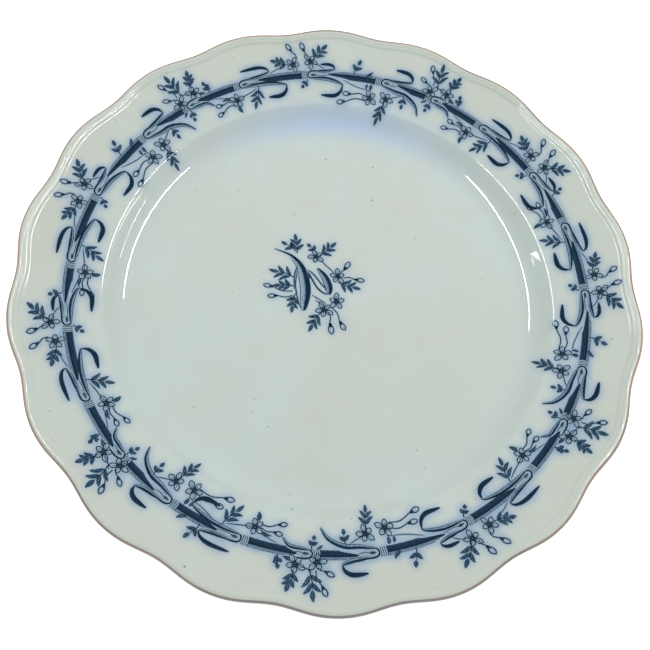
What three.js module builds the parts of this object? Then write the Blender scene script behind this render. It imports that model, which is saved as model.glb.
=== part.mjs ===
// A china dinner plate with a scalloped edge, built in the layers that it is made in: a fired clay
// body, a coat of glaze that wraps it down to the foot, a disc of glaze inside the foot, the printed
// cobalt transfers that have sunk into the top of the glaze, and a fine line painted round the lip.
// Millimetres, +Z up. The origin is the centre of the ring that the foot rests on.
import * as THREE from "three";
import { mergeGeometries } from "three/addons/utils/BufferGeometryUtils.js";

const DEGREE = Math.PI / 180;
const SEGMENTS = 72; // around the plate, four to a scallop

// The lip and its scallops
const RADIUS = 130; // halfway between the crest and the hollow of a scallop
const SCALLOPS = 18;
const SCALLOP_DEPTH = 1.25; // how far a crest stands out past RADIUS
const CREST_FLATNESS = 0.1; // broadens the crests and narrows the hollows
const SCALLOP_START = 104; // inside this radius the plate is round
const LIP_RADIUS = 1.9; // of the rounded edge

// The rim and the raised band along its lip, the verge
const RIM_TILT = 19.3; // degrees
const VERGE_INNER_RADIUS = 124.4;
// Radius of the two curves of each step, and the degrees that they turn through
const VERGE_STEPS = [[2.6, 27], [1.1, 25]];

// The well
const WELL_RADIUS = 82; // of its flat floor
const FOOT_HEIGHT = 2.2;
const BASE_THICKNESS = 4.8;
const CAVETTO_RADIUS = 16; // of the hollow curve between the floor and the wall
const WALL_TILT = 42; // degrees
const WALL_RUN = 4;
const SHOULDER_RADIUS = 4; // of the round corner between the wall and the rim

// The back and the foot
const UNDER_SHOULDER_RADIUS = 19;
const UNDER_WALL_RADIUS = 24;
const UNDER_BASE_TILT = 12; // degrees, where the back runs in to the foot
const FOOT_OUTER_RADIUS = 82.9;
const FOOT_WIDTH = 4.2;
const FOOT_CHAMFER = 0.5;
const FOOT_FILLET = 1.4;
const RECESS_FILLET = 1;
const BARE_HEIGHT = 0.6; // of the foot's unglazed tip

// The layers
const GLAZE = 0.35;
const PRINT = 0.12; // how deep a transfer has sunk into the glaze
const LINE = 0.08; // thickness of the painted line
const LINE_START = 0; // headings on the lip's round, in degrees, that it is painted between
const LINE_END = -78;
const LAYER_GAP = 0.03; // left between layers, so that no two solids share space

// The transfers
const SPRIG_RADIUS = 36;
const BORDER_INNER_TILT = 36; // degrees up the cavetto where the border starts
const STRIP_ENDS = [35, 195, 250]; // degrees, where one length of border tissue meets the next
const STRIP_GAP = 0.15; // degrees
const EDGE_GAP = 0.1; // between a transfer and the glaze beside it

const MATERIALS = {
  clay: new THREE.MeshStandardMaterial({ color: 0xe4dccb, roughness: 0.85, metalness: 0 }),
  glaze: new THREE.MeshStandardMaterial({ color: 0xc9d0c8, roughness: 0.12, metalness: 0 }),
  ink: new THREE.MeshStandardMaterial({ color: 0x8094ab, roughness: 0.14, metalness: 0 }),
  edge: new THREE.MeshStandardMaterial({ color: 0xb98e72, roughness: 0.3, metalness: 0 }),
};

// A path along the plate's section, walked with the body on its right. Each station is a point of the
// outer skin with the heading of the path there, in degrees from +r towards +z.
class SectionPath {
  constructor(r, z, heading) {
    this.stations = [{ r, z, heading }];
    this.marks = {};
  }

  get end() {
    return this.stations.at(-1);
  }

  to(r, z, heading) {
    this.stations.push({ r, z, heading });
    return this;
  }

  // Straight on for a length.
  run(length) {
    const { r, z, heading } = this.end;
    const angle = heading * DEGREE;
    return this.to(r + length * Math.cos(angle), z + length * Math.sin(angle), heading);
  }

  // Straight on to a radius.
  runTo(radius) {
    return this.run((radius - this.end.r) / Math.cos(this.end.heading * DEGREE));
  }

  // Round an arc to a new heading.
  bend(radius, heading, steps) {
    const start = this.end;
    const turn = heading - start.heading;
    const side = Math.sign(turn) * radius;
    for (let step = 1; step <= steps; step++) {
      const now = start.heading + (turn * step) / steps;
      const across = Math.sin(now * DEGREE) - Math.sin(start.heading * DEGREE);
      const up = Math.cos(start.heading * DEGREE) - Math.cos(now * DEGREE);
      this.to(start.r + side * across, start.z + side * up, now);
    }
    return this;
  }

  mark(name) {
    this.marks[name] = this.stations.length - 1;
    return this;
  }

  // The points from one mark to another, sunk into the body by a depth.
  points(from, to, depth) {
    const stations = this.stations.slice(this.marks[from], this.marks[to] + 1);
    return stations.map(({ r, z, heading }) => {
      const angle = heading * DEGREE;
      return new THREE.Vector2(r + depth * Math.sin(angle), z - depth * Math.cos(angle));
    });
  }
}

// The face, from the centre out to where the lip's round starts.
function walkFace(path) {
  path.mark("centre").runTo(SPRIG_RADIUS).mark("sprigEdge").runTo(WELL_RADIUS);
  path.bend(CAVETTO_RADIUS, BORDER_INNER_TILT, 3).mark("borderInner");
  path.bend(CAVETTO_RADIUS, WALL_TILT, 1).run(WALL_RUN).bend(SHOULDER_RADIUS, RIM_TILT, 1);
  path.runTo(SCALLOP_START).runTo(VERGE_INNER_RADIUS).mark("borderOuter");
  for (const [radius, turn] of VERGE_STEPS) {
    path.bend(radius, RIM_TILT + turn, 1).bend(radius, RIM_TILT, 1);
  }
  path.runTo(RADIUS - LIP_RADIUS * (1 + Math.sin(RIM_TILT * DEGREE)));
}

// The lip's round, with the painted line on the upper and outer part of it.
function walkLip(path) {
  path.bend(LIP_RADIUS, LINE_START, 1).mark("lineStart");
  path.bend(LIP_RADIUS, LINE_END, 2).mark("lineEnd");
  path.bend(LIP_RADIUS, RIM_TILT - 180, 3);
}

// The back, from the lip in to the bare tip of the foot.
function walkBack(path) {
  const filletRun = FOOT_FILLET * (1 - Math.sin(UNDER_BASE_TILT * DEGREE));
  path.runTo(SCALLOP_START).bend(UNDER_SHOULDER_RADIUS, WALL_TILT - 180, 2);
  path.bend(UNDER_WALL_RADIUS, UNDER_BASE_TILT - 180, 2);
  path.runTo(FOOT_OUTER_RADIUS + filletRun).bend(FOOT_FILLET, -90, 2);
  path.to(FOOT_OUTER_RADIUS, BARE_HEIGHT, -90).mark("footOuter");
}

// Under the foot and across the recess inside it.
function walkBase(path) {
  const inner = FOOT_OUTER_RADIUS - FOOT_WIDTH;
  path.to(FOOT_OUTER_RADIUS - FOOT_CHAMFER, 0, -180).mark("restOuter");
  path.to(inner + FOOT_CHAMFER, 0, -180).mark("restInner");
  path.to(inner, BARE_HEIGHT, -270).mark("footInner");
  path.to(inner, FOOT_HEIGHT - RECESS_FILLET, -270).bend(RECESS_FILLET, -180, 2);
  path.runTo(0).mark("baseCentre");
}

const skin = new SectionPath(0, FOOT_HEIGHT + BASE_THICKNESS, 0);
walkFace(skin);
walkLip(skin);
walkBack(skin);
walkBase(skin);

// How far the scallops move a point in or out.
function scallop(radius, angle) {
  const wave = SCALLOPS * angle;
  const full = SCALLOP_DEPTH * Math.cos(wave) - CREST_FLATNESS * Math.cos(2 * wave);
  return full * THREE.MathUtils.smoothstep(radius, SCALLOP_START, VERGE_INNER_RADIUS);
}

function flipFaces(geometry) {
  const index = geometry.index.array;
  for (let i = 0; i < index.length; i += 3) {
    [index[i], index[i + 1]] = [index[i + 1], index[i]];
  }
  return geometry;
}

// LatheGeometry cuts its quads along a diagonal that depends on which way the outline runs. Here each
// is cut from its inner corner to the outer one at the next angle, so that the facets of layers that
// lie on each other match.
function alignFacets(lathe, outline) {
  const index = lathe.index.array;
  for (let i = 0; i < index.length; i += 6) {
    const j = (i / 6) % (outline.length - 1);
    if (outline[j].x < outline[j + 1].x) {
      const [a, b, d, c] = index.slice(i, i + 4);
      index.set([a, b, c, a, c, d], i);
    }
  }
  return lathe;
}

// A closed section, anticlockwise in (r, z), turned round the axis, all the way or between two angles
// in degrees, then stood up on +Z and scalloped.
function turned(section, from = 0, to = 360) {
  const startsOnAxis = Math.abs(section[0].x) < 1e-6;
  const outline = startsOnAxis ? section : [...section, section[0].clone()];
  const steps = Math.round((SEGMENTS * (to - from)) / 360);
  const start = (from + 90) * DEGREE;
  const sweep = (to - from) * DEGREE;
  const parts = [alignFacets(new THREE.LatheGeometry(outline, steps, start, sweep), outline)];
  if (to - from < 360) {
    const cap = new THREE.ShapeGeometry(new THREE.Shape(section));
    parts.push(cap.clone().rotateY(start - 90 * DEGREE));
    parts.push(flipFaces(cap.clone().rotateY(start + sweep - 90 * DEGREE)));
  }
  const geometry = mergeGeometries(parts).rotateX(90 * DEGREE);
  const position = geometry.attributes.position;
  for (let i = 0; i < position.count; i++) {
    const point = new THREE.Vector2(position.getX(i), position.getY(i));
    const radius = point.length();
    point.setLength(radius + scallop(radius, point.angle()));
    position.setXY(i, point.x, point.y);
  }
  geometry.computeVertexNormals();
  return geometry;
}

const backwards = (points) => [...points].reverse();

// The section of a layer between two marks and two depths.
function layer(from, to, shallow, deep) {
  return [...skin.points(from, to, deep), ...backwards(skin.points(from, to, shallow))];
}

const clayDepth = GLAZE + LAYER_GAP;
const recessDepth = PRINT + LAYER_GAP;

function clayBody() {
  const bareStep = (mark, depth) => skin.points(mark, mark, depth)[0].setY(BARE_HEIGHT - LAYER_GAP);
  const glazedOuter = skin.points("centre", "footOuter", clayDepth).slice(0, -1);
  const glazedBase = skin.points("footInner", "baseCentre", clayDepth).slice(1);
  return turned(
    backwards([
      ...glazedOuter,
      bareStep("footOuter", clayDepth),
      bareStep("footOuter", 0),
      ...skin.points("restOuter", "restInner", 0),
      bareStep("footInner", 0),
      bareStep("footInner", clayDepth),
      ...glazedBase,
    ]),
  );
}

// The glaze has a shallow recess for the border and another for the sprig.
function glazeCoat() {
  return turned([
    ...skin.points("centre", "footOuter", GLAZE),
    ...backwards(skin.points("borderOuter", "footOuter", 0)),
    ...backwards(skin.points("borderInner", "borderOuter", recessDepth)),
    ...backwards(skin.points("sprigEdge", "borderInner", 0)),
    ...backwards(skin.points("centre", "sprigEdge", recessDepth)),
  ]);
}

// A point moved along its facet, to leave a gap at the edge of a recess.
function moveTowards(point, target) {
  return target.clone().sub(point).setLength(EDGE_GAP).add(point);
}

function centreTransfer() {
  const [centre, edge, topEdge, topCentre] = layer("centre", "sprigEdge", 0, PRINT);
  return turned([centre, moveTowards(edge, centre), moveTowards(topEdge, topCentre), topCentre]);
}

function borderTransfer(from, to) {
  const section = layer("borderInner", "borderOuter", 0, PRINT);
  const half = section.length / 2;
  const ends = [0, half - 1, half, section.length - 1];
  const neighbours = [1, half - 2, half + 1, section.length - 2];
  const moved = ends.map((end, i) => moveTowards(section[end], section[neighbours[i]]));
  ends.forEach((end, i) => (section[end] = moved[i]));
  return turned(section, from + STRIP_GAP / 2, to - STRIP_GAP / 2);
}

const group = new THREE.Group();

function addPiece(name, material, geometry) {
  const mesh = new THREE.Mesh(geometry, MATERIALS[material]);
  mesh.name = name;
  group.add(mesh);
}

addPiece("clay_body", "clay", clayBody());
addPiece("glaze_coat", "glaze", glazeCoat());
addPiece("base_glaze", "glaze", turned(layer("footInner", "baseCentre", 0, GLAZE)));
addPiece("edge_line", "edge", turned(layer("lineStart", "lineEnd", -LAYER_GAP - LINE, -LAYER_GAP)));
addPiece("centre_transfer", "ink", centreTransfer());
STRIP_ENDS.forEach((end, i) => {
  const next = STRIP_ENDS[i + 1] ?? STRIP_ENDS[0] + 360;
  addPiece(`border_transfer_${i + 1}`, "ink", borderTransfer(end, next));
});

export default group;
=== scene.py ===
"""A scalloped china dinner plate with a cobalt print that has bled into its glaze.

Lengths are in millimetres and angles in degrees until a mesh is made, which is in metres. Angles run
anticlockwise from above, from the crest of the scallop on +X.
"""

import math

import bpy
import numpy as np
from mathutils import Matrix, Vector


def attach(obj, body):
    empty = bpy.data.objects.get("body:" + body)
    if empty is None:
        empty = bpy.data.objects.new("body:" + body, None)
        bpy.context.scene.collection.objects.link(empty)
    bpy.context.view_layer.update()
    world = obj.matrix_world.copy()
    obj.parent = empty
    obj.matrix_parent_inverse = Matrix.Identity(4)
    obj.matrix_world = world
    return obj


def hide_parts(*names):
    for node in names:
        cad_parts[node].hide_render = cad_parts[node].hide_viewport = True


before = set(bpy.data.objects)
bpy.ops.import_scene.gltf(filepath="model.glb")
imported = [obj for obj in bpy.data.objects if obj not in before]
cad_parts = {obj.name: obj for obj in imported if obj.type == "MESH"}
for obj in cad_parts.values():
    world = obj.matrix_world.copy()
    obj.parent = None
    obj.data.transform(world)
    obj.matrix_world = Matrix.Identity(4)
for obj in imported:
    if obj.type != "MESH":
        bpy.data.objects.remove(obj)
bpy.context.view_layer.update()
MM = 0.001

# ---- The plate's section, as in the CAD model ----

RADIUS = 130
SCALLOPS = 18
SCALLOP_DEPTH = 1.25
CREST_FLATNESS = 0.1
SCALLOP_START = 104  # radius at which they begin to swell
CALM = 0.15  # share of the scallops' sideways turn that is left in the way the melted glaze shines
LIP_RADIUS = 1.9
RIM_TILT = 19.3
VERGE_INNER_RADIUS = 124.4
VERGE_STEPS = [(2.6, 27), (1.1, 25)]  # radius of each one's two curves, and degrees they turn through
WELL_RADIUS = 82
FOOT_HEIGHT = 2.2
BASE_THICKNESS = 4.8
CAVETTO_RADIUS = 16
WALL_TILT = 42
WALL_RUN = 4
SHOULDER_RADIUS = 4
UNDER_SHOULDER_RADIUS = 19
UNDER_WALL_RADIUS = 24
UNDER_BASE_TILT = 12
FOOT_OUTER_RADIUS = 82.9
FOOT_WIDTH = 4.2
FOOT_CHAMFER = 0.5
FOOT_FILLET = 1.4
RECESS_FILLET = 1
BARE_HEIGHT = 0.6
GLAZE = 0.35
LAYER_GAP = 0.03
LINE_START = 0  # headings of the path between which the painted line's film lies
LINE_END = -78
FACE_SEGMENTS = 720  # steps round the plate of the face and of the painted line
BACK_SEGMENTS = 540
BASE_SEGMENTS = 180
CLAY_SEGMENTS = 360

# ---- The print ----

RING_RADIUS = 109.5  # of the cane's middle
SPRIG_REACH = 36  # the centre sprig lies inside this radius
LIFT = 0.04  # of the ink over the glaze, so that it shows
LEVEL_LIFT = 0.004  # between one level of ink and the next
# The blurs lie lowest, at many levels in turn, so that two that cross don't share one
FRINGE_LEVEL = -6
FRINGE_LEVEL_STEP = 0.1
FRINGE_LEVELS = 37
MOUTH_LEVEL = 0
CANE_LEVEL = 1
PETAL_LEVEL = 3
LINE_LEVEL = 4
LEAF_LEVEL = 5
OUTLINE_LEVEL = 6
VEIN_LEVEL = 7
FRINGE = 0.32  # width of the blur at the edge of each shape
HALO_CELL = 0.5  # of the grid that the bleeding is worked out on
HALO_REACH = 12  # cells that the cobalt bleeds across
HALO_PARTS = [(0.75, 1.4), (0.25, 2.6)]  # shares of what bleeds, and how far each of them spreads
LEAF_WIDTH = 1.32  # of the leaves of a spray
TIP_LEAF_WIDTH = 1.4
COLLAR_START = 3.2  # along the cane, from its joint
COLLAR_END = 6.0
COLLAR_RINGS = (3.5, 4.3, 5.1, 5.9)

# Degrees from one joint of the cane to the next, and the three lengths of border tissue: the angle of
# the first joint, its kind, and how many joints there are
PITCH = {"A": 17.4, "B": 14.1, "C": 13.1, "D": 18.6}
STRIPS = [(41.1, "A", 10), (199.7, "A", 4), (259.7, "B", 9)]

# ---- Colour and painted shade in the glaze, and wear and painted shade of the line: strengths from 0 to 1 ----

HALO_GAIN = 3.6  # how soon a halo fills as more ink bleeds into it
FLOW = 0.45  # of a full halo
CANE_FLOW = 0.5  # how much more it is along the cane
CANE_FLOW_WIDTH = 10
POOL = 0.04  # of the blue that has gathered in the cavetto
POOL_RADIUS = 90
POOL_WIDTH = 7
FAR_SIDE_PAINTED_SHADE = 0.66  # how much more blue there is at one side: painted reflection and shade of that wall
FAR_SIDE_PAINTED_SHADE_ANGLE = 97
FAR_SIDE_PAINTED_SHADE_SPAN = 30
RIM_WARMTH = 0.45
WARMTH_RISE = (96, 116)  # radii between which it sets in
PAINT_START = 8  # degrees round the lip, from its top, at which the paint that is left starts
PAINT_START_LEAN = 14  # how much sooner it starts towards +Y, and how much later towards -Y
PAINT_START_LEFT = 8  # how much later it starts towards -X
PAINT_END = 68
PAINT_FADE = 6
NEAR_SIDE_SHADE = 0.85  # how much painted shade greys the paint, at one side
NEAR_SIDE_SHADE_ANGLE = -80
NEAR_SIDE_SHADE_SPAN = 55

# ---- The camera and lights ----

LENS = 40
CAMERA_ELEVATION = 68.3
CAMERA_TURN = -1.9
CAMERA_ROLL = 12.5
CAMERA_DISTANCE = 300.5  # from the middle of the lip's plane
CAMERA_SLIDE = (-4.0, -19.2)  # to its own right and upwards
LIP_HEIGHT = 24.2
FLOOR_HALF_WIDTH = 30  # metres, so that its edge lies at the horizon in low views
FLOOR_GLOW = 0.62
SKY_LOW = 0.50  # strength of the white all round, and of the dimmer white overhead
SKY_HIGH = 0.34
SKY_FADE = (0.3, 0.8)  # heights on the sky's dome, from 0 to 1, between which the one turns to the other
LAMP_DISTANCE = 0.9  # metres
# The lamps: direction from the plate, length and width in metres, and watts
LAMPS = {
    "left_lamp": ((-0.367, 0.139, 0.92), 0.51, 0.034, 2.6),
    "right_lamp": ((0.43, 0.316, 0.84), 0.405, 0.028, 2.75),
    "right_window": ((0.785, 0.302, 0.49), 0.28, 0.008, 0.2),
    "left_window": ((-0.82, 0.08, 0.57), 0.045, 0.006, 0.035),
}


def unit(angle):
    """The cosine and sine of an angle in degrees."""
    return math.cos(math.radians(angle)), math.sin(math.radians(angle))


class Section:
    """A path along the section with the body on its right: radius, height and heading at each station."""

    def __init__(self, radius, height):
        self.stations = [(radius, height, 0.0)]
        self.marks = {}

    def to(self, radius, height, heading):
        self.stations.append((radius, height, heading))

    def run(self, length, step=1.0):
        """A straight run, in the heading that the path has."""
        radius, height, heading = self.stations[-1]
        across, up = unit(heading)
        count = max(1, round(length / step))
        for k in range(1, count + 1):
            self.to(radius + across * length * k / count, height + up * length * k / count, heading)

    def run_to(self, radius, step=1.0):
        start, _, heading = self.stations[-1]
        self.run((radius - start) / unit(heading)[0], step)

    def bend(self, curve_radius, heading, steps):
        """An arc that turns to a new heading, to the left if it is greater and to the right if less."""
        radius, height, start = self.stations[-1]
        side = math.copysign(curve_radius, heading - start)
        for k in range(1, steps + 1):
            now = start + (heading - start) * k / steps
            across = unit(now)[1] - unit(start)[1]
            up = unit(start)[0] - unit(now)[0]
            self.to(radius + side * across, height + side * up, now)

    def mark(self, name):
        self.marks[name] = len(self.stations) - 1

    def points(self, first, last, depth=0.0):
        """The points from one mark to another, moved a depth into the body."""
        chosen = np.array(self.stations[self.marks[first] : self.marks[last] + 1])
        heading = np.radians(chosen[:, 2])
        radius = chosen[:, 0] + depth * np.sin(heading)
        height = chosen[:, 1] - depth * np.cos(heading)
        return np.column_stack([np.maximum(radius, 0), height])


def walk_section():
    """The whole outline: from the well's centre out over the lip, down the back and in to the base's."""
    path = Section(0, FOOT_HEIGHT + BASE_THICKNESS)
    path.mark("centre")
    path.run_to(SPRIG_REACH, 1.2)
    path.run_to(WELL_RADIUS, 5)
    path.bend(CAVETTO_RADIUS, WALL_TILT, 14)
    path.run(WALL_RUN, 0.8)
    path.bend(SHOULDER_RADIUS, RIM_TILT, 6)
    path.run_to(VERGE_INNER_RADIUS, 0.8)
    for curve_radius, turn in VERGE_STEPS:
        path.bend(curve_radius, RIM_TILT + turn, 5)
        path.bend(curve_radius, RIM_TILT, 5)
    path.run_to(RADIUS - LIP_RADIUS * (1 + unit(RIM_TILT)[1]), 0.2)
    path.mark("lip")
    path.bend(LIP_RADIUS, LINE_START, 4)
    path.mark("line start")
    path.bend(LIP_RADIUS, LINE_END, 8)
    path.mark("line end")
    path.bend(LIP_RADIUS, RIM_TILT - 180, 7)
    path.run_to(SCALLOP_START, 3)
    path.bend(UNDER_SHOULDER_RADIUS, WALL_TILT - 180, 6)
    path.bend(UNDER_WALL_RADIUS, UNDER_BASE_TILT - 180, 8)
    path.run_to(FOOT_OUTER_RADIUS + FOOT_FILLET * (1 - unit(UNDER_BASE_TILT)[1]), 1)
    path.bend(FOOT_FILLET, -90, 6)
    path.to(FOOT_OUTER_RADIUS, BARE_HEIGHT, -90)
    path.mark("foot outer")
    inner = FOOT_OUTER_RADIUS - FOOT_WIDTH
    path.to(FOOT_OUTER_RADIUS, FOOT_CHAMFER, -90)
    path.mark("rest outer")
    path.bend(FOOT_CHAMFER, -180, 3)
    path.to(inner + FOOT_CHAMFER, 0, -180)
    path.bend(FOOT_CHAMFER, -270, 3)
    path.mark("rest inner")
    path.to(inner, BARE_HEIGHT, -270)
    path.mark("foot inner")
    path.to(inner, FOOT_HEIGHT - RECESS_FILLET, -270)
    path.bend(RECESS_FILLET, -180, 6)
    path.run_to(0, 8)
    path.mark("base centre")
    return path


SECTION = walk_section()


def smoothstep(value, low, high):
    share = np.clip((value - low) / (high - low), 0, 1)
    return share * share * (3 - 2 * share)


def bell(value, middle, width):
    return np.exp(-(((value - middle) / width) ** 2))


def scallop(radius, angle):
    """How far the scallops move a point in or out. The angle is in radians."""
    wave = SCALLOPS * angle
    full = SCALLOP_DEPTH * np.cos(wave) - CREST_FLATNESS * np.cos(2 * wave)
    return full * smoothstep(radius, SCALLOP_START, VERGE_INNER_RADIUS)


def on_face(radius, angle):
    """The points of the face at plan positions, given as radius and angle in radians."""
    flat = SECTION.points("centre", "lip")
    unscalloped = radius
    for _ in range(3):  # each time closer to where the point was before the scallops moved it
        unscalloped = radius - scallop(unscalloped, angle)
    height = np.interp(unscalloped, flat[:, 0], flat[:, 1])
    return np.stack([radius * np.cos(angle), radius * np.sin(angle), height], -1)


# ---- Meshes ----


def make_object(name, points, normals, faces, slot, replaces, material, **attributes):
    """A smooth mesh object from points in mm, that rides on the plate and stands for CAD nodes."""
    mesh = bpy.data.meshes.new(name)
    mesh.from_pydata((np.asarray(points) * MM).tolist(), [], faces)
    mesh.polygons.foreach_set("use_smooth", [True] * len(mesh.polygons))
    for key, values in attributes.items():
        layer = mesh.attributes.new(key, "FLOAT", "POINT")
        layer.data.foreach_set("value", np.asarray(values, dtype=np.float32))
    mesh.materials.append(material)
    mesh.update()
    mesh.normals_split_custom_set_from_vertices(np.asarray(normals).tolist())
    made = bpy.data.objects.new(name, mesh)
    bpy.context.scene.collection.objects.link(made)
    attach(made, "root")
    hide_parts(*replaces)


def unit_rows(vectors):
    return vectors / np.maximum(np.linalg.norm(vectors, axis=-1, keepdims=True), 1e-9)


def revolve(section, segments):
    """A section turned round the axis and scalloped: its points, normals and faces."""
    angle = np.arange(segments) * 2 * np.pi / segments
    radial = np.column_stack([np.cos(angle), np.sin(angle), 0 * angle])
    around = np.column_stack([-np.sin(angle), np.cos(angle), 0 * angle])
    walked = np.concatenate([[0], np.cumsum(np.hypot(*np.diff(section, axis=0).T))])
    slope = np.gradient(section, walked, axis=0)
    small = 0.001  # the step that the scallops' slopes are measured over
    points, normals, rings = [], [], []
    for (radius, height), (outward, upward) in zip(section, slope):
        start = len(points)
        if radius < 1e-6:
            points.append((0, 0, height))
            normals.append((0, 0, outward))
            rings.append([start] * segments)
            continue
        wide = radius + scallop(radius, angle)
        stretch = 1 + (scallop(radius + small, angle) - scallop(radius, angle)) / small
        swing = CALM * (scallop(radius, angle + small) - scallop(radius, angle)) / small
        up = np.full(segments, height)
        points.extend(np.column_stack([wide * radial[:, 0], wide * radial[:, 1], up]).tolist())
        along = radial * (outward * stretch)[:, None] + (0, 0, upward)
        across = radial * swing[:, None] + around * wide[:, None]
        normals.extend(unit_rows(np.cross(along, across)).tolist())
        rings.append(list(range(start, start + segments)))
    faces = []
    for ring, following in zip(rings, rings[1:]):
        for i in range(segments):
            k = (i + 1) % segments
            faces.append(tuple(dict.fromkeys([ring[i], following[i], following[k], ring[k]])))
    return np.array(points), np.array(normals), faces


# ---- Drawing in ink ----


def curve(points, spacing=0.4):
    """Evenly spaced points on a smooth curve through a few points."""
    given = np.array(points, dtype=float)
    padded = np.vstack([2 * given[0] - given[1], given, 2 * given[-1] - given[-2]])
    t = np.linspace(0, 1, 12, endpoint=False)[:, None]
    dense = []
    for a, b, c, d in zip(padded, padded[1:], padded[2:], padded[3:]):
        cubic = 2 * b + (c - a) * t + (2 * a - 5 * b + 4 * c - d) * t**2 + (3 * b - a - 3 * c + d) * t**3
        dense.append(cubic / 2)
    dense = np.vstack(dense + [given[-1:]])
    length = np.concatenate([[0], np.cumsum(np.hypot(*np.diff(dense, axis=0).T))])
    even = np.linspace(0, length[-1], max(4, round(length[-1] / spacing) + 1))
    return np.column_stack([np.interp(even, length, dense[:, k]) for k in (0, 1)])


def sideways(path):
    """The unit normals of a path, to its left."""
    along = np.gradient(path, axis=0)
    along /= np.linalg.norm(along, axis=1)[:, None]
    return np.column_stack([-along[:, 1], along[:, 0]])


def towards(start, end, share):
    """The point at a share of the way from one point to another."""
    return tuple(np.array(start) + (np.array(end) - np.array(start)) * share)


class Drawing:
    """Ink shapes on a flat sheet. Each is a strip of quads, with a strength of ink and a level."""

    def __init__(self):
        self.points = np.zeros((0, 2))
        self.faces = []
        self.ink = []
        self.level = []

    def strip(self, columns, ink, level):
        """Quads between lines of equally many points. Each line has its own strength of ink."""
        rows, width = len(columns[0]), len(columns)
        start = len(self.points)
        self.points = np.vstack([self.points, np.stack(columns, 1).reshape(-1, 2)])
        self.ink.extend(list(ink) * rows)
        self.level.extend([level] * rows * width)
        for row in range(rows - 1):
            for column in range(width - 1):
                a = start + row * width + column
                self.faces.append((a, a + 1, a + width + 1, a + width))

    def fringe(self, left, right):
        """The blur round a shape, where its ink has crept into the glaze. It lies under all shapes."""
        out = FRINGE * unit_rows(left - right)
        level = FRINGE_LEVEL + FRINGE_LEVEL_STEP * (len(self.faces) % FRINGE_LEVELS)
        self.strip([left + out, left, right, right - out], [0, 0.42, 0.42, 0], level)

    def stroke(self, points, width, ink=1.0, level=LINE_LEVEL, taper=(0.25, 0.25)):
        """A line through a few points, drawn out fine over the tapered shares of its length."""
        path = curve(points)
        t = np.linspace(0, 1, len(path))
        swell = np.ones(len(path))
        for share, distance in zip(taper, (t, 1 - t)):
            if share:
                swell = np.minimum(swell, 0.25 + 0.75 * np.clip(distance / share, 0, 1))
        offset = sideways(path) * (swell * width / 2)[:, None]
        self.fringe(path + offset, path - offset)
        self.strip([path + offset, path - offset], [ink, ink], level)

    def blade(self, points, width, pale=0.3, belly=1.0):
        """A long leaf of cane, dark along its right and outlined along its left.

        It is broadest halfway along, or nearer its start where belly is less than 1.
        """
        path = curve(points)
        t = np.linspace(0, 1, len(path)) ** belly
        swell = (0.12 + 0.88 * np.sin(np.pi * t) ** 0.65)[:, None]
        line = min(0.15, 0.2 / width)
        across = [0.5, 0.5 - line, 0.48 - line, 0.08, -0.1, -0.5]
        columns = [path + sideways(path) * swell * width * share for share in across]
        self.fringe(columns[0], columns[-1])
        self.strip(columns, [1.0, 1.0, pale, pale + 0.15, 0.92, 1.0], LINE_LEVEL)

    def leaf(self, base, tip, width, bend=0.1):
        """A pointed leaf, paler along its rib, that bows to the left by a share of its length."""
        base, tip = np.array(base), np.array(tip)
        along = tip - base
        left = np.array([-along[1], along[0]])
        path = curve([base, (base + tip) / 2 + left * bend, tip])
        t = np.linspace(0, 1, len(path))
        half = (np.sin(np.pi * t**0.8) ** 0.85 * width / 2 + 0.05)[:, None]
        out = sideways(path) * half
        self.fringe(path + out, path - out)
        columns = [path + out * share for share in (1, 0.7, 0.15, -0.1, -0.7, -1)]
        self.strip(columns, [1.0, 0.95, 0.5, 0.9, 0.62, 0.95], LEAF_LEVEL)

    def loop(self, base, tip, width, line, fill, roundness):
        """A petal or the body of a bud: an outline, fuller towards its tip, with a pale inside."""
        path = curve([base, towards(base, tip, 0.5), tip], 0.25)
        t = np.linspace(0, 1, len(path))
        half = (np.sin(np.pi * t**1.25) ** (1.3 - roundness) * width / 2)[:, None]
        normal = sideways(path)
        left, right = path + normal * half, path - normal * half
        self.strip([left, path, right], [fill, fill * 0.6, fill], PETAL_LEVEL)
        outline = np.vstack([left[::2], path[-1:], right[::-2]])
        self.stroke(outline, line, 0.95, OUTLINE_LEVEL, (0, 0))

    def bud(self, stem, tip, width):
        """A closed bud in its cup of two short leaves, on a stem that bows to reach it."""
        tip = np.array(tip)
        stem = np.array(stem)
        width *= 0.8
        base = stem + (tip - stem) * (1 - 2.5 * width / np.linalg.norm(tip - stem))
        side = np.array([-(tip - stem)[1], (tip - stem)[0]])
        self.stroke([stem, (stem + base) / 2 + side * 0.07, base], 0.34, 0.9, taper=(0, 0))
        side = side / np.linalg.norm(side)
        self.loop(towards(base, tip, 0.12), tip, width, 0.38, 0.16, 0.6)
        for way in (1, -1):
            end = base + (tip - base) * 0.45 + side * way * width * 0.4
            self.leaf(base, end, width * 0.55, -0.16 * way)
        self.leaf(base, base + (tip - base) * 0.36, width * 0.5, 0)

    def blossom(self, centre, reach, turn, petals=5):
        """An open flower seen from the front, with unequal petals and a dark eye."""
        for k in range(petals):
            angle = turn + 360 * k / petals
            length = reach * (0.97 + 0.16 * math.sin(2.3 * k + turn))
            across, up = unit(angle)
            tip = (centre[0] + across * length, centre[1] + up * length)
            base = towards(centre, tip, 0.1)
            self.loop(base, tip, reach * 0.52, 0.36, 0.2, 0.3)
            self.stroke([base, towards(centre, tip, 0.75)], 0.32, 0.9, VEIN_LEVEL, (0, 0.8))
            across, up = unit(angle + 180 / petals)
            dark = (centre[0] + across * reach * 0.5, centre[1] + up * reach * 0.5)
            self.leaf(centre, dark, reach * 0.2, 0)

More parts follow.
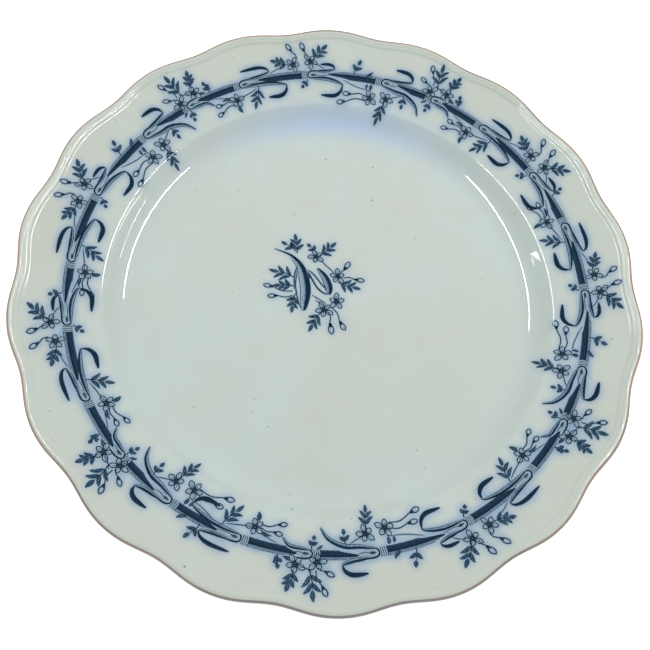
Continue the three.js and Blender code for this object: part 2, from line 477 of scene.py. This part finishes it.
    def spray(self, base, heading, reach, pairs, turn=18):
        """A stem that turns slowly, with leaves in pairs that shorten towards the one at its tip."""
        stem = [np.array(base, dtype=float)]
        step = reach * 0.74 / (pairs + 0.6)
        for k in range(pairs + 1):
            across, up = unit(heading + turn * k / pairs)
            stem.append(stem[-1] + np.array([across, up]) * step * (1 if k else 0.6))
        self.stroke(stem, 0.38, 0.95, taper=(0, 0.3))
        for k in range(1, pairs + 1):
            way = heading + turn * k / pairs
            for side, share in ((1, 0.58), (-1, 0.5)):
                across, up = unit(way + side * (52 - 7 * k))
                tip = stem[k] + np.array([across, up]) * reach * share * (1.05 - 0.07 * k)
                self.leaf(towards(stem[k], tip, 0.08), tip, LEAF_WIDTH, -0.1 * side)
        across, up = unit(heading + turn)
        self.leaf(stem[-1], stem[-1] + np.array([across, up]) * reach * 0.42, TIP_LEAF_WIDTH, 0.04)

    def crook(self, start, far, end, width):
        """A strip of sheath that runs back along the cane, turns over and comes forward again."""
        (u, v), (back_u, back_v) = start, end
        rise = back_v - v
        outward = [start, (u * 0.45 + far * 0.55, v + rise * 0.06)]
        outward += [(far * 0.95 + u * 0.05, v + rise * 0.3), (far, v + rise * 0.52)]
        self.blade(outward, width)
        turned = [(far, v + rise * 0.4), (far * 0.9 + back_u * 0.1, v + rise * 0.78)]
        self.blade(turned + [(far * 0.6 + back_u * 0.4, v + rise * 1.02), end], width, 0.8)


def draw_cane(ink, start, tip, slope):
    """The cane that comes from the left, striped along its length and cut to a point at the joint."""
    # Each stripe's lower and upper edge across the cane, and its strength of ink
    lanes = [(-1.72, -1.45, 1.0), (-1.45, -1.2, 0.72), (-1.2, -0.85, 1.0), (-0.85, -0.7, 0.7)]
    lanes += [(-0.7, -0.3, 1.0), (-0.3, -0.15, 0.75), (-0.15, 0.4, 1.0), (0.4, 0.75, 0.92)]
    lanes += [(0.75, 1.02, 0.4), (1.02, 1.16, 0.9), (1.16, 1.5, 0.32), (1.5, 1.68, 0.85)]
    for low, high, strength in lanes:
        edges = []
        for v in (high, low):  # the end is cut back far below the middle, and a little above it
            end = slope + (tip - slope) * smoothstep(v, -1.8, 0.4) - 5 * smoothstep(v, 0.4, 1.7)
            along = np.linspace(start, end, round((tip - start) / 0.8))
            edges.append(np.column_stack([along, np.full(len(along), v)]))
        ink.strip(edges, [strength, strength], CANE_LEVEL)
        if high > 1.6 or low < -1.7:
            ink.fringe(*edges)


def draw_collar(ink):
    """A pale band round the cane with dark rings, at the right of a joint."""
    heights = np.linspace(1.7, -1.75, 6)
    lines = [np.array([(COLLAR_START, v), (COLLAR_END, v)]) for v in heights]
    ink.strip(lines, [0.16] * len(lines), CANE_LEVEL)
    for u in COLLAR_RINGS:
        ink.stroke([(u, 1.75), (u + 0.35, 0.1), (u, -1.8)], 0.3, 0.95, taper=(0, 0))


def draw_joint(ink, opening):
    """The mouth of the sheath, with the eye where the next cane shows. It opens towards -u."""
    rows = np.linspace(0, 1, 12)[:, None]
    top = np.column_stack([opening + (2.6 - opening) * rows, 0.3 + 1.2 * np.sin(np.pi * rows * 0.55)])
    low = np.column_stack([opening + (2.6 - opening) * rows, -0.2 - 1.5 * np.sin(np.pi * rows * 0.55)])
    ink.strip([top, (top + low) / 2, low], [0.3, 0.12, 0.3], MOUTH_LEVEL)
    ink.stroke([(opening, 1.6), (0.5, 1.75), (2.6, 1.0), (3.1, -0.3), (2.2, -1.5)], 0.62, 1, taper=(0.3, 0))
    ink.leaf((-0.8, -0.05), (2.0, -0.1), 1.0, 0)
    ink.stroke([(0.2, -0.05), (-3, -0.45), (opening, 0.1)], 0.28, 0.85, taper=(0, 0.4))


def draw_a(ink):
    draw_joint(ink, -7.5)
    ink.crook((2.6, -1.4), -13.9, (-3, -9.2), 1.7)
    ink.crook((-0.6, 1.6), -9.7, (-3, 4.8), 1.35)
    ink.spray((0.4, 6.6), 118, 8.6, 2)
    ink.blossom((1.5, 6.0), 3.4, 52)
    ink.blossom((9.5, 4.8), 3.3, 38)
    ink.stroke([(-5.2, 2.2), (-2.6, 4.2), (0.6, 5.6)], 0.3, 0.85)
    ink.bud((3, 7.4), (5.2, 14.4), 2.2)
    ink.bud((7.6, 7.2), (11.4, 14.0), 2.1)
    ink.spray((11.6, 4.8), 8, 7.4, 2)
    ink.stroke([(14, 4.2), (18, 3.3), (21.5, 1.8)], 0.26, 0.75)
    ink.spray((3.2, -2), -62, 4.6, 1)


def draw_b(ink):
    draw_joint(ink, -8)
    ink.crook((2.4, -1.4), -19.4, (-9.2, -8.1), 1.8)
    ink.crook((-0.6, 1.6), -12.1, (0.8, 5.8), 1.5)
    ink.spray((-5.6, -2.4), -76, 9.4, 2)
    ink.stroke([(-4.4, -3.2), (0, -4.5), (6, -5.7)], 0.3, 0.9)
    ink.blossom((6.8, -5.9), 3.6, 28)
    ink.leaf((7, -8.2), (6.2, -11.8), 1.7)
    ink.leaf((9.4, -5), (13.8, -4.2), 1.1)
    ink.bud((9, -6.2), (17.9, -5.4), 2.0)
    ink.bud((8.6, -7.4), (19.0, -9.6), 2.0)
    ink.stroke([(9, -4), (13.3, -3), (17, -1.8)], 0.26, 0.75)
    ink.spray((17.2, 1.7), 62, 4.6, 1)


def draw_c(ink):
    draw_joint(ink, -3.5)
    ink.blade([(2.4, -1.5), (-2, -1.8), (-6, -2.3), (-9, -4.8)], 1.4)
    ink.spray((-3.2, 6.2), 88, 7, 2)
    ink.leaf((-4.6, 3.2), (-7.6, 2.2), 1.2)
    ink.leaf((-10, 2.2), (-8.7, 5.8), 1.2)
    ink.blossom((-2.8, 4.2), 3.5, 20)
    ink.blossom((4.9, 2.7), 3.4, 62)
    ink.stroke([(-1.5, 4.6), (1.6, 5.3), (3.6, 6.6)], 0.32, 0.9)
    ink.spray((2.2, 5.6), 66, 9.6, 2)
    ink.bud((4.6, 5.6), (8.4, 14.3), 2.0)
    ink.bud((5.4, 4.6), (11, 7.4), 2.0)
    ink.spray((2.8, -1.6), -96, 4.8, 1)
    ink.leaf((4.6, -2), (6.8, -3.6), 0.9)


def draw_d(ink):
    draw_joint(ink, -5.5)
    ink.blade([(2.6, -1.5), (-4, -2.8), (-10, -3.3), (-16, -6), (-19.3, -10.1)], 1.9)
    ink.crook((-0.6, 1.6), -11, (-2.2, 7), 1.7)
    ink.spray((-9, -3.4), -112, 5.6, 1)
    ink.stroke([(-8.4, -3.6), (-5, -5.4), (-1, -7)], 0.3, 0.85)
    ink.spray((-0.2, -9), -92, 8.6, 2)
    ink.blossom((-0.9, -7.3), 3.7, 40)
    ink.blossom((7.4, -8.4), 3.9, 66)
    ink.bud((9, -8), (21.4, -7.9), 2.3)
    ink.bud((9.2, -10), (24.2, -12.2), 2.4)
    ink.leaf((7.3, -2.2), (7.6, -5.1), 1.4)
    ink.leaf((9.4, -2.4), (9.8, -5), 1.0)
    ink.stroke([(8.6, -5), (13.3, -4.6), (18, -3.3), (21.5, -1.8)], 0.26, 0.75)
    ink.leaf((11, 1), (8, 3.4), 1.3)
    ink.spray((16.6, 1.2), 96, 6.4, 1)


# Each kind of joint: how it is drawn, and where the cane's point and the foot of its slope lie
KINDS = {
    "A": (draw_a, -6.4, -17),
    "B": (draw_b, -6, -12),
    "C": (draw_c, -2.4, -7),
    "D": (draw_d, -4.4, -12),
}
ORDER = "ABCD"


def draw_centre(ink):
    """The sprig in the well: two curled blades of cane with sprays round them."""
    ink.blade([(-10.6, -9.6), (-11.6, 1), (-15.4, 10.4), (-21, 15.9)], 4.6, 0.15, 0.75)
    ink.stroke([(-17.5, 13.6), (-21.6, 15.9), (-28.6, 17.3)], 0.8, 1, taper=(0, 0.6))
    ink.blade([(-0.9, 0), (-1.6, 3.6), (-4.2, 8), (-8.2, 11.8)], 3.3, 0.25, 0.7)
    ink.stroke([(-0.9, 1.2), (-2.6, 0.2), (-6.8, 2.6), (-12, 9.4)], 0.6, 0.95)
    ink.stroke([(-12.4, 10.2), (-9.2, 8.4), (-5, 4.4), (-2, 2)], 0.5, 0.9)
    ink.stroke([(-16.8, 12.6), (-17.4, 6), (-16.2, -0.6)], 0.45, 0.85)
    ink.stroke([(-16.6, 10), (-16.2, 2), (-13.4, -6), (-10.8, -9.6)], 0.45, 0.85)
    ink.leaf((-12.6, 8.2), (-10.4, 6.1), 1.6)
    ink.spray((-18.4, 17.2), 92, 8.4, 2)
    ink.spray((-19, 18), 140, 7, 1)
    ink.spray((-17.2, 5), 158, 10.4, 2)
    ink.spray((-16.8, 1), 176, 8, 2)
    ink.bud((-16.8, -1.4), (-29.8, -0.9), 2.2)
    ink.bud((-16.4, -3.4), (-27, -5.8), 2.2)
    ink.spray((-15.4, -2.4), -104, 8, 2)
    ink.blossom((-9.6, 17.2), 3.5, 48)
    ink.spray((-8.4, 18), 38, 9, 2)
    ink.spray((-9.8, 19), 128, 5.4, 1)
    ink.stroke([(-7.6, 16), (-4.6, 13.8), (-0.4, 11)], 0.32, 0.85)
    ink.blossom((1.4, 9.6), 3.6, 30)
    ink.spray((2, 7), -22, 9.2, 2)
    ink.bud((2.6, 11), (5.6, 17.6), 2.5)
    ink.bud((4.2, 9.4), (13.4, 9.9), 2.3)
    ink.stroke([(-8.2, -1.6), (-4.6, -3), (-1.4, -4.4)], 0.32, 0.85)
    ink.stroke([(-6.4, -3.6), (-3, -5.2), (0, -6)], 0.3, 0.8)
    ink.blossom((2.8, -2.4), 3.7, 25)
    ink.blossom((-1.8, -7.4), 3.9, 55)
    ink.spray((-3, -9), -124, 9, 2)
    ink.bud((1.2, -5.6), (8.6, -14.9), 2.4)
    ink.bud((0, -8), (3.4, -17.8), 2.7)


def border_joints():
    """For each strip, its joints as angle, kind and the degrees back to the joint before."""
    strips = []
    for start, first, count in STRIPS:
        joints, angle = [], start
        for k in range(count):
            kind = ORDER[(ORDER.index(first) + k) % 4]
            joints.append([angle, kind])
            angle += PITCH[kind]
        strips.append(joints)
    flat = [joint for joints in strips for joint in joints]
    for k, joint in enumerate(flat):
        joint.append((joint[0] - flat[k - 1][0]) % 360)
    return strips


def plan_of_border(ink, angle):
    """A drawing's points as plan positions on the rim, with its origin on the ring at an angle."""
    radius = RING_RADIUS + ink.points[:, 1]
    return np.column_stack([radius, np.radians(angle) + ink.points[:, 0] / RING_RADIUS])


def plan_of_centre(ink):
    """A drawing's points as plan positions, with its origin at the plate's centre."""
    x, y = ink.points.T
    return np.column_stack([np.hypot(x, y), np.arctan2(y, x)])


def lay(plan, level):
    """The places and normals of inked points, each a little above the glaze."""
    radius, angle = plan.T
    step = 0.2
    here = on_face(radius, angle)
    outward = on_face(radius + step, angle) - on_face(radius - step, angle)
    turn = step / np.maximum(radius, 1)
    around = on_face(radius, angle + turn) - on_face(radius, angle - turn)
    normal = unit_rows(np.cross(outward, around))
    return here + normal * (LIFT + LEVEL_LIFT * np.array(level))[:, None], normal


def print_strip(joints):
    """The plan, faces, ink and levels of one length of the border."""
    plans, faces, ink, level = [], [], [], []
    for angle, kind, back in joints:
        drawing = Drawing()
        draw, tip, slope = KINDS[kind]
        draw_cane(drawing, COLLAR_RINGS[-1] - math.radians(back) * RING_RADIUS, tip, slope)
        draw_collar(drawing)
        draw(drawing)
        offset = sum(len(plan) for plan in plans)
        faces += [tuple(corner + offset for corner in face) for face in drawing.faces]
        plans.append(plan_of_border(drawing, angle))
        ink += drawing.ink
        level += drawing.level
    return np.vstack(plans), faces, ink, level


def upward(points, faces):
    """The faces turned so that they look up."""
    corners = np.array(faces)
    across = points[corners[:, 2]] - points[corners[:, 0]]
    along = points[corners[:, 3]] - points[corners[:, 1]]
    down = across[:, 0] * along[:, 1] - across[:, 1] * along[:, 0] < 0
    corners[down] = corners[down][:, ::-1]
    return corners.tolist()


# ---- How far the cobalt has bled ----


def bleed(prints):
    """A grid of how much cobalt is in the glaze, once each print's ink has bled across its cells."""
    cells = int(2 * RADIUS / HALO_CELL) + 8
    amount = np.zeros((cells, cells))
    for points, faces, ink in prints:
        corners = points[np.array(faces)]
        a, b = corners[:, 2] - corners[:, 0], corners[:, 3] - corners[:, 1]
        area = np.abs(a[:, 0] * b[:, 1] - a[:, 1] * b[:, 0]) / 2
        weight = area * np.array(ink)[np.array(faces)].mean(1)
        place = (corners.mean(1)[:, :2] / HALO_CELL + cells / 2).astype(int)
        np.add.at(amount, (place[:, 0], place[:, 1]), weight / HALO_CELL**2)
    reach = np.arange(-HALO_REACH, HALO_REACH + 1) * HALO_CELL
    spread = np.zeros(len(reach))
    for share, width in HALO_PARTS:
        spread += share * bell(reach, 0, width) / bell(reach, 0, width).sum()
    for axis in (0, 1):
        amount = np.apply_along_axis(np.convolve, axis, amount, spread, "same")
    return amount


def sample(grid, points):
    """A grid's values at points, between its cells."""
    place = points[:, :2] / HALO_CELL + len(grid) / 2 - 0.5
    low = np.floor(place).astype(int)
    share = place - low
    value = 0
    for dx in (0, 1):
        for dy in (0, 1):
            weight = np.abs(1 - dx - share[:, 0]) * np.abs(1 - dy - share[:, 1])
            value = value + weight * grid[low[:, 0] + dx, low[:, 1] + dy]
    return value


# ---- Materials ----


class Shader:
    """A material's node tree, with short ways to add to it."""

    def __init__(self, name, **constants):
        self.material = bpy.data.materials.new(name)
        self.material.use_nodes = True
        self.tree = self.material.node_tree
        self.surface = self.tree.nodes["Principled BSDF"]
        for key, value in constants.items():
            self.surface.inputs[key.replace("_", " ")].default_value = value
        self.place = self.add("ShaderNodeTexCoord").outputs["Object"]

    def add(self, kind, inputs=None, **settings):
        node = self.tree.nodes.new(kind)
        for key, value in settings.items():
            setattr(node, key, value)
        for key, value in (inputs or {}).items():
            if isinstance(value, bpy.types.NodeSocket):
                self.tree.links.new(value, node.inputs[key])
            else:
                node.inputs[key].default_value = value
        return node

    def attribute(self, name):
        return self.add("ShaderNodeAttribute", attribute_name=name).outputs["Fac"]

    def noise(self, per_metre, detail=3.0, roughness=0.5):
        inputs = {"Vector": self.place, "Scale": per_metre, "Detail": detail, "Roughness": roughness}
        return self.add("ShaderNodeTexNoise", inputs).outputs["Fac"]

    def math(self, operation, a, b=0.0):
        return self.add("ShaderNodeMath", {0: a, 1: b}, operation=operation).outputs[0]

    def spread(self, value, low, high, to_low=0.0, to_high=1.0):
        """A value, held between low and high, moved on to another range."""
        inputs = {"Value": value, "From Min": low, "From Max": high, "To Min": to_low, "To Max": to_high}
        return self.add("ShaderNodeMapRange", inputs).outputs["Result"]

    def mix(self, share, a, b):
        """A colour between two others. The node's colour sockets have only their numbers to themselves."""
        return self.add("ShaderNodeMix", {0: share, 6: a, 7: b}, data_type="RGBA").outputs[2]

    def specks(self, per_metre, size, rarity):
        """1 inside a few small round spots, at most one to a cell of a Voronoi pattern, and 0 elsewhere."""
        cells = self.add("ShaderNodeTexVoronoi", {"Vector": self.place, "Scale": per_metre})
        near = self.spread(cells.outputs["Distance"], size, size * 0.4)
        pick = self.add("ShaderNodeSeparateColor", {0: cells.outputs["Color"]}).outputs[0]
        return self.math("MULTIPLY", near, self.math("GREATER_THAN", pick, rarity))

    def bump(self, height, distance, strength=1.0):
        node = self.add("ShaderNodeBump", {"Height": height, "Strength": strength, "Distance": distance})
        self.tree.links.new(node.outputs["Normal"], self.surface.inputs["Normal"])

    def set(self, socket, value):
        self.tree.links.new(value, self.surface.inputs[socket])


# Colours are linear red, green and blue, and opacity.
CREAM = (0.592, 0.635, 0.558, 1)
COOL_WHITE = (0.600, 0.688, 0.654, 1)
BLUSH = (0.605, 0.592, 0.515, 1)
# The face's cream made darker: painted shade for the back and base
SHADED_BACK_CREAM = (0.480, 0.510, 0.452, 1)
FLOWN = (0.24, 0.38, 0.58, 1)
# Blue of the cobalt pooled in the cavetto, and of the painted reflection and shade at one side of it
POOL_AND_SHADE_BLUE = (0.44, 0.59, 0.85, 1)
SPECK = (0.10, 0.09, 0.08, 1)
NAVY = (0.001, 0.016, 0.042, 1)
COBALT = (0.046, 0.128, 0.214, 1)
PALE_INK = (0.350, 0.470, 0.570, 1)
TAN = (0.42, 0.26, 0.17, 1)
DARK_TAN = (0.25, 0.18, 0.15, 1)
# Grey of the painted shade on the lip's outer side
LIP_SHADE_GREY = (0.26, 0.25, 0.26, 1)
BISCUIT = (0.70, 0.62, 0.50, 1)
STAINED = (0.42, 0.33, 0.23, 1)
FLOOR_WHITE = (0.90, 0.90, 0.90, 1)
FLOOR_BRIGHT_WHITE = (0.92, 0.92, 0.92, 1)


def gloss(shader):
    """The melted glaze's slow ripple."""
    shader.bump(shader.noise(38, 1), 0.0004, 0.3)


def flowing_colour(shader, tone):
    """The face's glaze: cool in the well, warmer on the rim, blue where the cobalt has run, and blue
    painted reflection and shade at one side of the cavetto.
    """
    tone = shader.math("ADD", tone, shader.attribute("warmth"))
    colour = shader.mix(tone, COOL_WHITE, CREAM)
    blush = shader.spread(shader.noise(60, 3), 0.45, 0.7, 0, 0.25)
    colour = shader.mix(blush, colour, BLUSH)
    # Cobalt pooled in the cavetto, and painted reflection and shade at one side of it
    colour = shader.mix(shader.attribute("pool_and_shade"), colour, POOL_AND_SHADE_BLUE)
    cloud = shader.spread(shader.noise(160, 3), 0.3, 0.7, 0.75, 1.2)
    flow = shader.math("MULTIPLY", shader.attribute("flow"), cloud)
    return shader.mix(shader.math("MINIMUM", flow, 1.0), colour, FLOWN)


def glaze_material(name, flows):
    """Glaze with the odd speck in it. Where the cobalt doesn't flow in it, it is a darker cream: painted
    shade for the plate's back.
    """
    shader = Shader(name, Roughness=0.05, IOR=1.6)
    tone = shader.spread(shader.noise(22, 4), 0.3, 0.7, 0, 0.4)
    if flows:
        colour = flowing_colour(shader, tone)
    else:
        # Painted shade: a darker copy of the face's cream, for the underside
        colour = shader.mix(tone, SHADED_BACK_CREAM, BLUSH)
    spots = shader.math("MAXIMUM", shader.specks(90, 0.055, 0.7), shader.specks(260, 0.1, 0.9))
    colour = shader.mix(shader.math("MULTIPLY", spots, 0.75), colour, SPECK)
    shader.set("Base Color", colour)
    gloss(shader)
    return shader.material


def ink_material():
    """Pale blue to navy by the strength of the ink, with a little grain."""
    shader = Shader("cobalt_ink", Roughness=0.06, IOR=1.4)
    grain = shader.spread(shader.noise(1500, 2), 0.3, 0.7, -0.14, 0.1)
    ink = shader.math("ADD", shader.attribute("ink"), grain)
    light = shader.mix(shader.spread(ink, 0.05, 0.6), PALE_INK, COBALT)
    shader.set("Base Color", shader.mix(shader.spread(ink, 0.5, 0.85), light, NAVY))
    gloss(shader)
    return shader.material


def line_material():
    """Tan enamel that is worn through to the glaze, and greyed by painted shade towards one side."""
    shader = Shader("edge_enamel", Roughness=0.22, IOR=1.5)
    worn = shader.spread(shader.noise(260, 5, 0.7), 0.35, 0.75, -0.3, 0.3)
    cover = shader.math("ADD", shader.attribute("cover"), worn)
    colour = shader.mix(shader.spread(shader.noise(30, 3), 0.4, 0.65), TAN, DARK_TAN)
    # Painted shade: the paint turns grey towards one side, where the lip's outer side is in shade
    colour = shader.mix(shader.attribute("near_side_shade"), colour, LIP_SHADE_GREY)
    shown = shader.spread(cover, 0.3, 0.7)
    shader.set("Base Color", shader.mix(shown, CREAM, colour))
    shader.bump(shown, 0.00003, 0.5)
    return shader.material


def clay_material():
    """The bare foot: gritty biscuit with stains."""
    shader = Shader("bare_clay", Roughness=0.9)
    stain = shader.spread(shader.noise(90, 5, 0.65), 0.45, 0.75)
    grit = shader.specks(1400, 0.25, 0.75)
    colour = shader.mix(stain, BISCUIT, STAINED)
    shader.set("Base Color", shader.mix(shader.math("MULTIPLY", grit, 0.5), colour, SPECK))
    shader.bump(shader.noise(2600, 4, 0.7), 0.0002, 0.8)
    return shader.material


def floor_material():
    shader = Shader("floor", Roughness=0.9, Emission_Color=(1, 1, 1, 1), Emission_Strength=FLOOR_GLOW)
    shader.set("Base Color", shader.mix(shader.noise(3, 2), FLOOR_WHITE, FLOOR_BRIGHT_WHITE))
    return shader.material


# ---- The pieces ----


def make_print(name, node, material, plan, faces, ink, level):
    """One inked piece. Returns its points, faces and ink, which bleed."""
    points, normals = lay(plan, level)
    faces = upward(points, faces)
    make_object(name, points, normals, faces, "cobalt_print", [node], material, ink=ink)
    return points, faces, ink


def make_prints():
    material = ink_material()
    prints = []
    for k, joints in enumerate(border_joints(), 1):
        strip = print_strip(joints)
        prints.append(make_print(f"border_print_{k}", f"border_transfer_{k}", material, *strip))
    sprig = Drawing()
    draw_centre(sprig)
    sheet = (plan_of_centre(sprig), sprig.faces, sprig.ink, sprig.level)
    prints.append(make_print("centre_print", "centre_transfer", material, *sheet))
    return prints


def make_face_glaze(prints):
    """The glaze of the face, round to the lower edge of the painted line, with what colours it."""
    points, normals, faces = revolve(SECTION.points("centre", "line end"), FACE_SEGMENTS)
    radius = np.hypot(points[:, 0], points[:, 1])
    angle = np.degrees(np.arctan2(points[:, 1], points[:, 0]))
    halo = 1 - np.exp(-HALO_GAIN * sample(bleed(prints), points))
    flow = halo * (FLOW + CANE_FLOW * bell(radius, RING_RADIUS, CANE_FLOW_WIDTH))
    # A faint even pooling, and at one side painted reflection and shade that make it much stronger
    pool_and_shade = POOL + FAR_SIDE_PAINTED_SHADE * bell(angle, FAR_SIDE_PAINTED_SHADE_ANGLE, FAR_SIDE_PAINTED_SHADE_SPAN)
    pool_and_shade = bell(radius, POOL_RADIUS, POOL_WIDTH) * pool_and_shade
    warmth = RIM_WARMTH * smoothstep(radius, *WARMTH_RISE)
    colours = {"flow": flow, "pool_and_shade": pool_and_shade, "warmth": warmth}
    material = glaze_material("flow_glaze", True)
    make_object("glaze_face", points, normals, faces, "glaze", ["glaze_coat"], material, **colours)


def make_back_glaze():
    """The glaze of the back and that of the base, each rounded off where it meets the bare foot."""
    # Its darker cream is painted shade for the underside
    material = glaze_material("shaded_back_glaze", False)
    edge = [(FOOT_OUTER_RADIUS - GLAZE * 0.4, BARE_HEIGHT - 0.05), (FOOT_OUTER_RADIUS - GLAZE, BARE_HEIGHT)]
    back = np.vstack([SECTION.points("line end", "foot outer"), edge])
    made = revolve(back, BACK_SEGMENTS)
    make_object("glaze_back", *made, "glaze", ["glaze_coat"], material)
    edge = [(FOOT_OUTER_RADIUS - FOOT_WIDTH + GLAZE, BARE_HEIGHT)]
    base = np.vstack([edge, SECTION.points("foot inner", "base centre")])
    made = revolve(base, BASE_SEGMENTS)
    make_object("glaze_base", *made, "glaze", ["base_glaze"], material)


def make_clay():
    """The body, which lies under the glaze except at the foot."""
    depth = GLAZE + LAYER_GAP
    section = np.vstack([
        SECTION.points("centre", "foot outer", depth)[:-1],
        SECTION.points("foot outer", "foot outer", depth) - (0, LAYER_GAP),
        SECTION.points("foot outer", "foot outer") - (0, LAYER_GAP),
        SECTION.points("rest outer", "rest inner"),
        SECTION.points("foot inner", "foot inner") - (0, LAYER_GAP),
        SECTION.points("foot inner", "foot inner", depth) - (0, LAYER_GAP),
        SECTION.points("foot inner", "base centre", depth)[1:],
    ])
    make_object("clay", *revolve(section, CLAY_SEGMENTS), "clay", ["clay_body"], clay_material())


def make_line():
    """The painted line, with how much of its paint is left and how much painted shade greys it."""
    section = SECTION.points("line start", "line end", -LAYER_GAP)
    points, normals, faces = revolve(section, FACE_SEGMENTS)
    angle = np.degrees(np.arctan2(points[:, 1], points[:, 0]))
    across, up = np.cos(np.radians(angle)), np.sin(np.radians(angle))
    round_lip = np.repeat(np.linspace(-LINE_START, -LINE_END, len(section)), FACE_SEGMENTS)
    start = PAINT_START - PAINT_START_LEAN * up + PAINT_START_LEFT * np.maximum(-across, 0)
    cover = np.minimum(round_lip - start, PAINT_END - round_lip) / PAINT_FADE
    # Painted shade, strongest at one side of the plate
    near_side_shade = NEAR_SIDE_SHADE * bell(angle, NEAR_SIDE_SHADE_ANGLE, NEAR_SIDE_SHADE_SPAN)
    wear_and_shade = {"cover": cover, "near_side_shade": near_side_shade}
    material = line_material()
    make_object("lip_line", points, normals, faces, "edge_enamel", ["edge_line"], material, **wear_and_shade)


# ---- The studio ----


def make_floor():
    mesh = bpy.data.meshes.new("floor")
    half = FLOOR_HALF_WIDTH
    corners = [(-half, -half, 0), (half, -half, 0), (half, half, 0), (-half, half, 0)]
    mesh.from_pydata(corners, [], [(0, 1, 2, 3)])
    mesh.materials.append(floor_material())
    floor = bpy.data.objects.new("floor", mesh)
    bpy.context.scene.collection.objects.link(floor)


def turned_about_z(vector, angle):
    return Matrix.Rotation(math.radians(angle), 3, "Z") @ Vector(vector)


def make_camera():
    """The camera that took the photo, as its view of the scallops gives it."""
    level, tall = unit(CAMERA_ELEVATION)
    forward = turned_about_z((0, level, -tall), CAMERA_TURN)
    right = turned_about_z((1, 0, 0), CAMERA_TURN)
    roll = Matrix.Rotation(math.radians(-CAMERA_ROLL), 3, forward)
    right = roll @ right
    up = right.cross(forward)
    camera = bpy.data.objects.new("camera", bpy.data.cameras.new("camera"))
    camera.data.lens = LENS
    place = Vector((0, 0, LIP_HEIGHT)) - forward * CAMERA_DISTANCE
    place += right * CAMERA_SLIDE[0] + up * CAMERA_SLIDE[1]
    axes = Matrix((right, up, -forward)).transposed().to_4x4()
    camera.matrix_world = Matrix.Translation(place * MM) @ axes
    camera.data.clip_start = 0.01
    bpy.context.scene.collection.objects.link(camera)
    bpy.context.scene.camera = camera


def make_strip_light(name, direction, length, width, power):
    """A long lamp that runs along Y and faces the plate."""
    place = Vector(direction).normalized() * LAMP_DISTANCE
    data = bpy.data.lights.new(name, "AREA")
    data.shape = "RECTANGLE"
    data.size = width
    data.size_y = length
    data.energy = power
    lamp = bpy.data.objects.new(name, data)
    across = Vector((0, 1, 0)).cross(place).normalized()
    axes = Matrix((across, Vector((0, 1, 0)), place.normalized())).transposed().to_4x4()
    lamp.matrix_world = Matrix.Translation(place) @ axes
    bpy.context.scene.collection.objects.link(lamp)


def make_sky():
    """White light from all round, dimmer overhead."""
    world = bpy.data.worlds.new("studio")
    world.use_nodes = True
    nodes, links = world.node_tree.nodes, world.node_tree.links
    height = nodes.new("ShaderNodeSeparateXYZ")
    links.new(nodes.new("ShaderNodeTexCoord").outputs["Generated"], height.inputs[0])
    fade = nodes.new("ShaderNodeMapRange")
    links.new(height.outputs["Z"], fade.inputs["Value"])
    fade.inputs["From Min"].default_value = SKY_FADE[0]
    fade.inputs["From Max"].default_value = SKY_FADE[1]
    fade.inputs["To Min"].default_value = SKY_LOW
    fade.inputs["To Max"].default_value = SKY_HIGH
    links.new(fade.outputs["Result"], nodes["Background"].inputs["Strength"])
    nodes["Background"].inputs["Color"].default_value = (1, 1, 1, 1)
    bpy.context.scene.world = world


def make_lights():
    for name, lamp in LAMPS.items():
        make_strip_light(name, *lamp)
    make_sky()
    bpy.context.scene.view_settings.view_transform = "Standard"


make_camera()
make_lights()
make_floor()
make_clay()
make_line()
inked = make_prints()
make_face_glaze(inked)
make_back_glaze()
